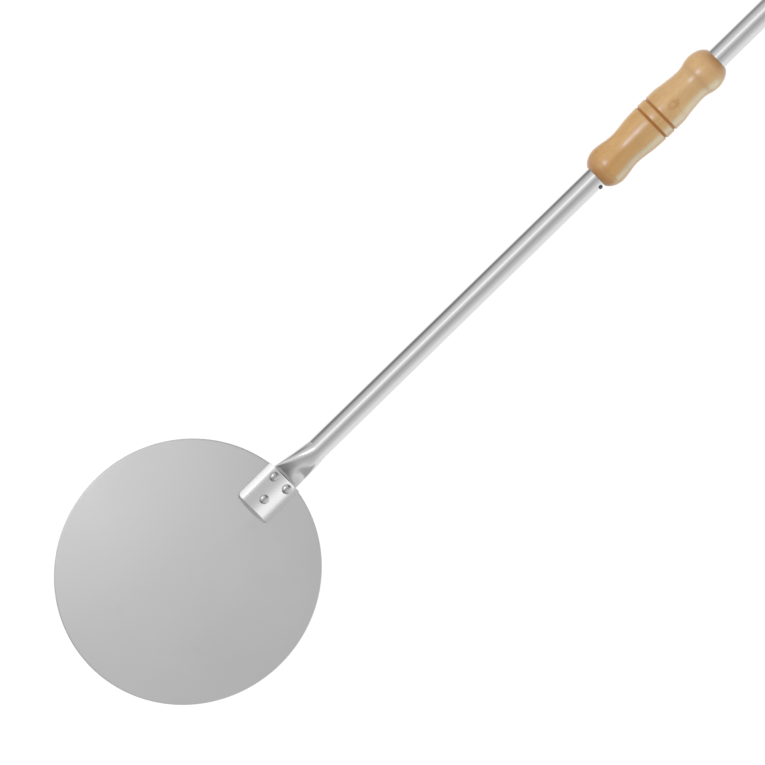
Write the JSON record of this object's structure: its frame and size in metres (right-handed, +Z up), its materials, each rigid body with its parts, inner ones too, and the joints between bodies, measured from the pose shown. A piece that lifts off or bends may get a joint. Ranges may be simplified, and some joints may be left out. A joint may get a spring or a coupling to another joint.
{
  "type": "pizza peel",
  "caption": "Round turning pizza peel: thin steel disc blade riveted under a bracket to a tube pole, with a sliding turned wooden grip and a fixed wooden end grip.",
  "frame": {"origin": "centre of the blade's underside, on the surface the blade lies on", "axes": "+X from the blade's centre along the pole towards the rear grip, +Z up out of the blade's top face"},
  "size_m": [1.1995, 0.23, 0.0492],
  "materials": {
    "satin_steel": "satin stainless sheet",
    "pressed_steel": "pressed satin stainless sheet",
    "polished_steel": "drawn stainless tube, near mirror",
    "rivet_steel": "polished domed rivet",
    "dark_screw": "blackened steel screw",
    "nylon": "dark plastic bush",
    "beech": "varnished light beech",
    "screw_steel": "countersunk steel screw"
  },
  "bodies": {
    "peel": {"blade": "satin_steel", "saddle_bracket": "pressed_steel", "pole_tube": "polished_steel", "rivet_front": "rivet_steel", "rivet_left": "rivet_steel", "rivet_right": "rivet_steel", "stop_screw": "dark_screw", "rear_grip": "beech", "rear_grip_screw": "screw_steel"},
    "slider_bushes": {"slider_bush_front": "nylon", "slider_bush_rear": "nylon"},
    "slider_handle": {"slider_grip": "beech"}
  },
  "joints": [
    {"name": "slider_slide", "type": "slide", "parent": "peel", "child": "slider_bushes", "axis": [0.9997, 0, 0.0227], "range_m": [-0.0011, 0.3125]},
    {"name": "slider_spin", "type": "hinge", "parent": "slider_bushes", "child": "slider_handle", "pos_m": [0.55042, 0, 0.01947], "axis": [0.9997, 0, 0.0227], "continuous": true}
  ]
}
